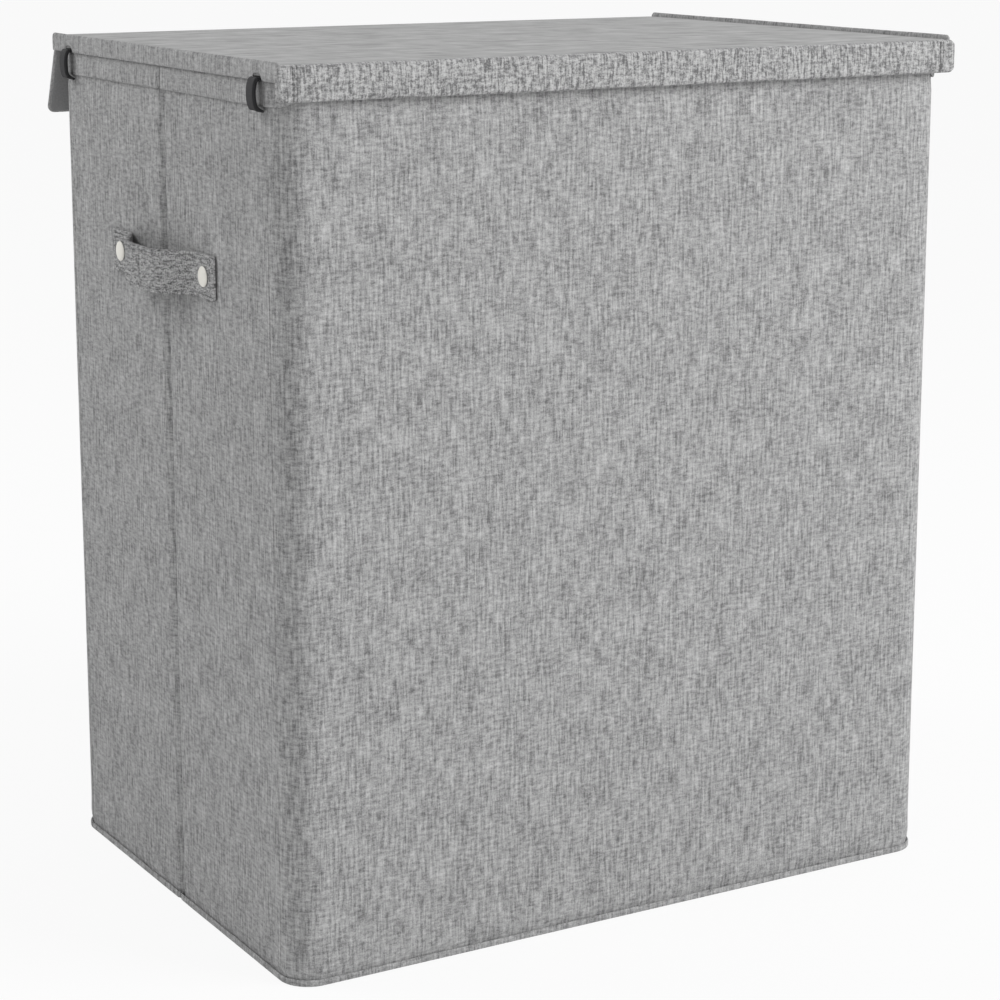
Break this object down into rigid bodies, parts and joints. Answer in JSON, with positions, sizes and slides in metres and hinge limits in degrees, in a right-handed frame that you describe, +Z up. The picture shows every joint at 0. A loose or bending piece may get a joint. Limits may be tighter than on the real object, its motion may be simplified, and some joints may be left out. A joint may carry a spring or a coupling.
{
  "type": "laundry hamper",
  "caption": "Rectangular fabric-over-board laundry hamper with a hinged lid, riveted side handles and side-by-side lift-out laundry bags; its side walls fold inward to store flat.",
  "frame": {"origin": "middle of the underside, on the floor", "axes": "+Z up, +X to the right as seen from the front, -Y towards the front (the side with the lid's lip)"},
  "size_m": [0.6006, 0.44, 0.65],
  "materials": {
    "wall_linen": "heathered grey linen-look weave, matt",
    "trim_linen": "heathered grey linen-look weave, folded and sewn",
    "lid_linen": "smooth grey linen-look cloth with fine streaks",
    "handle_linen": "coarse grey linen-look strap",
    "stiff_board": "plain pressed board, hidden",
    "foam": "thin padding, hidden",
    "elastic_band": "black ribbed woven elastic",
    "fastening_tape": "hook and loop tape",
    "rivet_enamel": "cream enamelled metal, satin",
    "washer_steel": "plain steel",
    "bag_cloth": "light plain-woven lining cloth",
    "bag_webbing": "herringbone webbing"
  },
  "bodies": {
    "root": {"back_cover": "wall_linen", "back_board": "stiff_board", "back_cuff": "trim_linen", "back_welt": "trim_linen", "base_cloth": "trim_linen", "base_board": "stiff_board", "hook_tape": "fastening_tape"},
    "left_rear": {"left_rear_cover": "wall_linen", "left_rear_board": "stiff_board", "left_rear_cuff": "trim_linen", "left_rear_welt": "trim_linen", "left_rear_rivet": "rivet_enamel", "left_rear_washer": "washer_steel", "left_rear_elastic": "elastic_band", "left_handle": "handle_linen"},
    "left_front": {"left_front_cover": "wall_linen", "left_front_board": "stiff_board", "left_front_cuff": "trim_linen", "left_front_welt": "trim_linen", "left_front_rivet": "rivet_enamel", "left_front_washer": "washer_steel", "left_front_elastic": "elastic_band"},
    "front": {"front_cover": "wall_linen", "front_board": "stiff_board", "front_cuff": "trim_linen", "front_welt": "trim_linen"},
    "right_rear": {"right_rear_cover": "wall_linen", "right_rear_board": "stiff_board", "right_rear_cuff": "trim_linen", "right_rear_welt": "trim_linen", "right_rear_rivet": "rivet_enamel", "right_rear_washer": "washer_steel", "right_rear_elastic": "elastic_band", "right_handle": "handle_linen"},
    "right_front": {"right_front_cover": "wall_linen", "right_front_board": "stiff_board", "right_front_cuff": "trim_linen", "right_front_welt": "trim_linen", "right_front_rivet": "rivet_enamel", "right_front_washer": "washer_steel", "right_front_elastic": "elastic_band"},
    "lid": {"lid_top_cloth": "lid_linen", "lid_board": "stiff_board", "lid_foam": "foam", "lid_lining": "bag_cloth", "lid_lip_cloth": "trim_linen", "lid_lip_board": "stiff_board"},
    "flap": {"rear_flap": "trim_linen", "loop_tape": "fastening_tape"},
    "left_bin": {"left_bag": "bag_cloth", "left_bag_hem": "bag_webbing", "left_bag_handle_rear": "bag_webbing", "left_bag_handle_front": "bag_webbing"},
    "right_bin": {"right_bag": "bag_cloth", "right_bag_hem": "bag_webbing", "right_bag_handle_rear": "bag_webbing", "right_bag_handle_front": "bag_webbing"}
  },
  "joints": [
    {"name": "fold", "type": "hinge", "parent": "root", "child": "left_rear", "pos_m": [-0.2729, 0.178, 0], "axis": [0, 0, 1], "range_deg": [0, 85], "deforming": ["left_handle", "right_handle", "left_bag", "left_bag_hem", "left_bag_handle_rear", "left_bag_handle_front", "right_bag", "right_bag_hem", "right_bag_handle_rear", "right_bag_handle_front", "base_cloth", "base_board"]},
    {"name": "left_middle_fold", "type": "hinge", "parent": "left_rear", "child": "left_front", "pos_m": [-0.2815, 0, 0], "axis": [0, 0, 1], "range_deg": [-170, 0]},
    {"name": "front_corner_fold", "type": "hinge", "parent": "left_front", "child": "front", "pos_m": [-0.2729, -0.178, 0], "axis": [0, 0, 1], "range_deg": [0, 85]},
    {"name": "right_corner_fold", "type": "hinge", "parent": "root", "child": "right_rear", "pos_m": [0.2729, 0.178, 0], "axis": [0, 0, 1], "range_deg": [-85, 0]},
    {"name": "right_middle_fold", "type": "hinge", "parent": "right_rear", "child": "right_front", "pos_m": [0.2815, 0, 0], "axis": [0, 0, 1], "range_deg": [0, 170]},
    {"name": "lid_hinge", "type": "hinge", "parent": "root", "child": "lid", "pos_m": [0, 0.2078, 0.65], "axis": [-1, 0, 0], "range_deg": [0, 240]},
    {"name": "flap_hinge", "type": "hinge", "parent": "root", "child": "flap", "pos_m": [0, 0.2078, 0.6497], "axis": [1, 0, 0], "range_deg": [-22, 4]},
    {"name": "left_bag_lift", "type": "slide", "parent": "root", "child": "left_bin", "axis": [0, 0, 1], "range_m": [0, 0.68]},
    {"name": "right_bag_lift", "type": "slide", "parent": "root", "child": "right_bin", "axis": [0, 0, 1], "range_m": [0, 0.68]}
  ],
  "couplings": [
    {"joint": "left_middle_fold", "follows": "fold", "ratio": -2},
    {"joint": "front_corner_fold", "follows": "fold", "ratio": 1},
    {"joint": "right_corner_fold", "follows": "fold", "ratio": -1},
    {"joint": "right_middle_fold", "follows": "fold", "ratio": 2}
  ]
}
